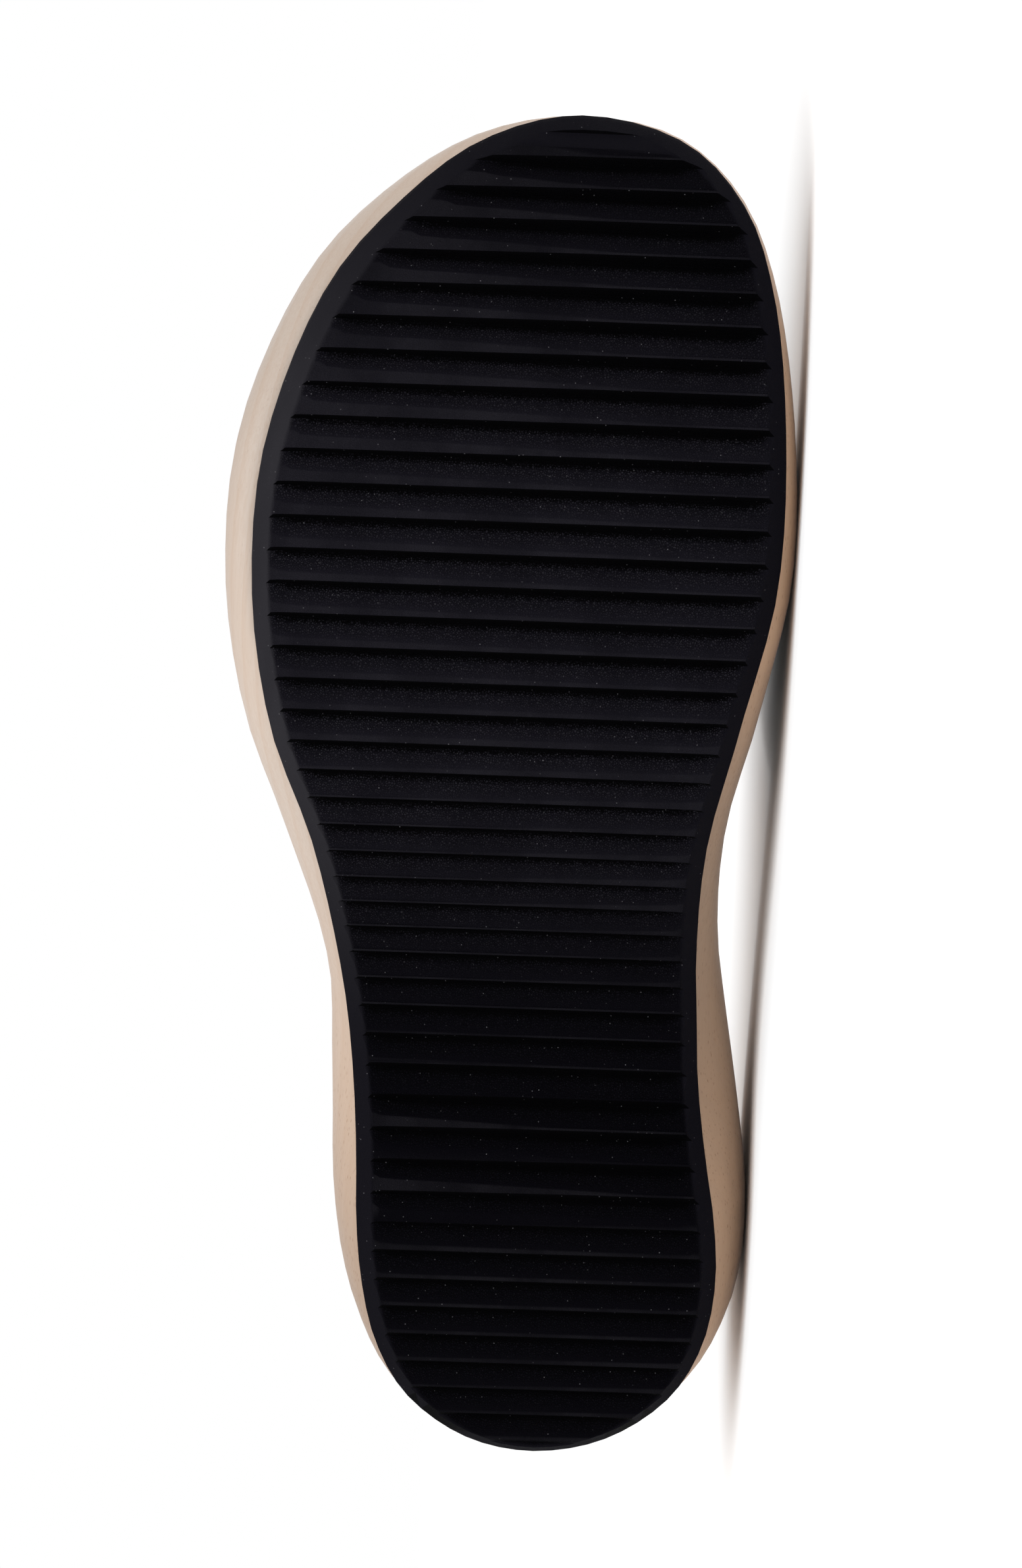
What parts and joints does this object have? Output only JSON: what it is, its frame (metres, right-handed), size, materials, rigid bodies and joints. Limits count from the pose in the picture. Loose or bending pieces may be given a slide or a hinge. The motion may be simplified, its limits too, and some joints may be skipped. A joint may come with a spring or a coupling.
{
  "type": "platform sandal",
  "caption": "Open-toed platform sandal for the right foot: carved wooden platform, ribbed rubber outsole and a broad leather band.",
  "frame": {"origin": "middle of the bounding box at the floor, the sandal lying on its inner side", "axes": "+X to the toe, +Y from the tread to the band, +Z to the outer side, which is up"},
  "size_m": [0.2548, 0.1008, 0.1002],
  "materials": {
    "rubber": "matte moulded rubber with fine grain",
    "beech": "sanded and oiled beech",
    "leather": "smooth black leather"
  },
  "bodies": {
    "root": {"outsole": "rubber", "platform": "beech", "upper": "leather"}
  },
  "joints": []
}
